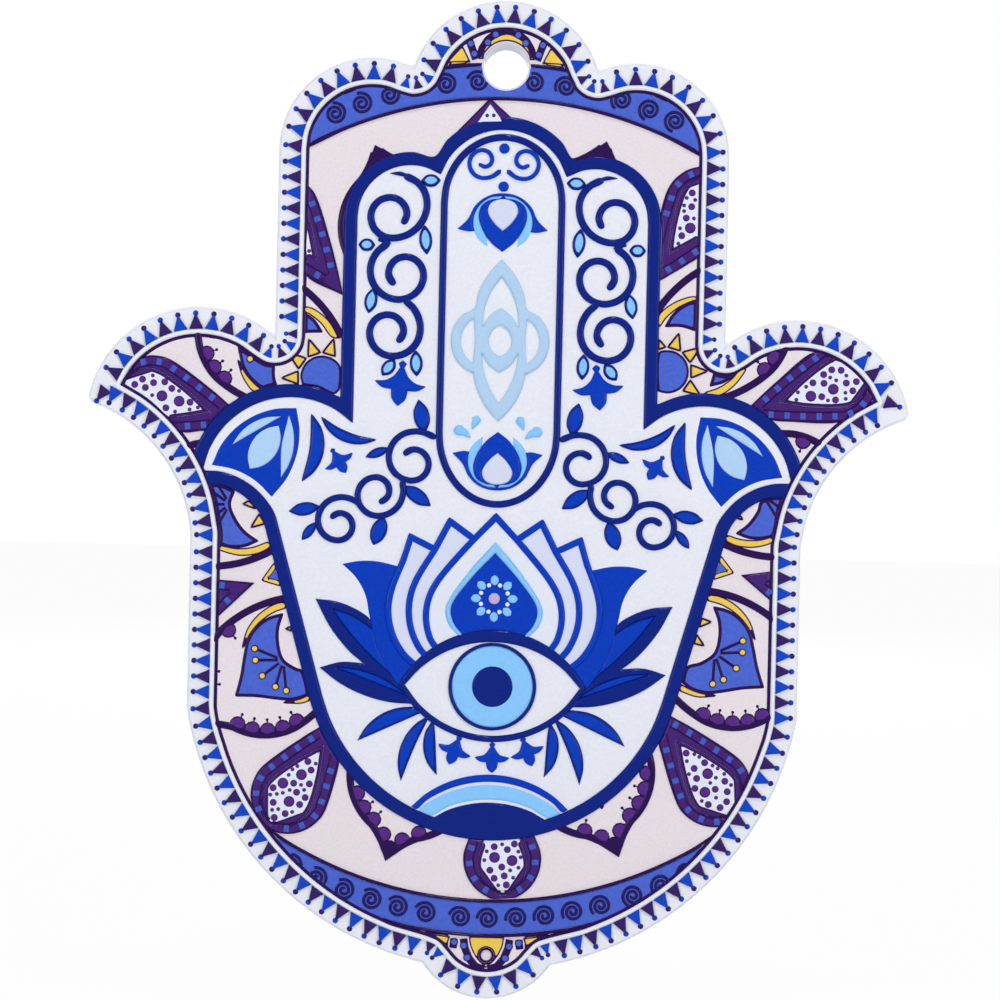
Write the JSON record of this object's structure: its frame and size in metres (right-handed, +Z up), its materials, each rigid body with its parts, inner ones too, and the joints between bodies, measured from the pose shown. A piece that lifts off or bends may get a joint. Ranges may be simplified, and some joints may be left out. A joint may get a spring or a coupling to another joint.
{
  "type": "hamsa hand ornament",
  "caption": "Flat hand-shaped wall ornament with a hanging hole, a raised bead border and a glossy relief of an eye, lotus, scrolls and mandala petals on its face.",
  "frame": {"origin": "centre of the hanging hole on the plate's flat back face", "axes": "+Z up along the hand's middle finger, +Y out of the back towards the wall, +X to the viewer's right"},
  "size_m": [0.123, 0.0055, 0.1498],
  "materials": {
    "plate_white": "smooth white board with a satin face",
    "bead_white": "raised glossy white ink",
    "hand_white": "thin white ink ground",
    "blush": "thin pale blush ink ground",
    "navy": "raised glossy navy ink",
    "royal": "raised glossy royal blue ink",
    "light_blue": "glossy light blue ink",
    "pale_blue": "glossy pale blue ink",
    "lavender": "glossy lavender ink",
    "periwinkle": "glossy periwinkle ink",
    "gold": "glossy yellow ink",
    "purple": "raised glossy purple ink",
    "dark_purple": "raised dark purple ink line"
  },
  "bodies": {
    "root": {"border_bead": "bead_white", "bud_bodies": "royal", "bud_hearts": "lavender", "bud_leaves": "royal", "bud_petals": "pale_blue", "eye_lids": "navy", "eye_tulips": "royal", "finger_curls": "royal", "finger_dots": "royal", "finger_drop_pair": "light_blue", "finger_knot": "pale_blue", "finger_leaf_drops": "light_blue", "finger_panel_line": "navy", "finger_tulips": "royal", "finger_vine_left": "navy", "finger_vine_right": "navy", "flower_crescents": "gold", "flower_domes": "periwinkle", "flower_fields": "periwinkle", "flower_rays": "gold", "foot_arc_blue": "royal", "foot_arc_light": "light_blue", "foot_dome": "navy", "foot_lobe_gold": "gold", "foot_lobe_ring": "purple", "fringe_blue": "royal", "fringe_purple": "purple", "hand_band": "navy", "hand_ground": "hand_white", "iris": "light_blue", "iris_ring": "navy", "lash_leaves": "royal", "lotus_heart": "royal", "lotus_heart_rim": "light_blue", "lotus_outer_petals": "royal", "lotus_petal_lines": "royal", "lotus_petals": "lavender", "lotus_rosette": "light_blue", "lotus_side_leaves": "navy", "palm_leaves": "royal", "palm_tulips": "royal", "palm_vine_left": "navy", "palm_vine_right": "navy", "petal_fields": "blush", "petal_rims": "purple", "plate": "plate_white", "pupil": "navy", "ring_band_bottom": "periwinkle", "ring_band_top": "periwinkle", "ring_edges": "dark_purple", "scallop_edges": "dark_purple", "side_leaf_hearts": "royal", "star_points_blue": "periwinkle", "star_points_gold": "gold", "thumb_inner_petals": "pale_blue", "thumb_petals": "royal", "top_lobe_gold": "gold"}
  },
  "joints": []
}
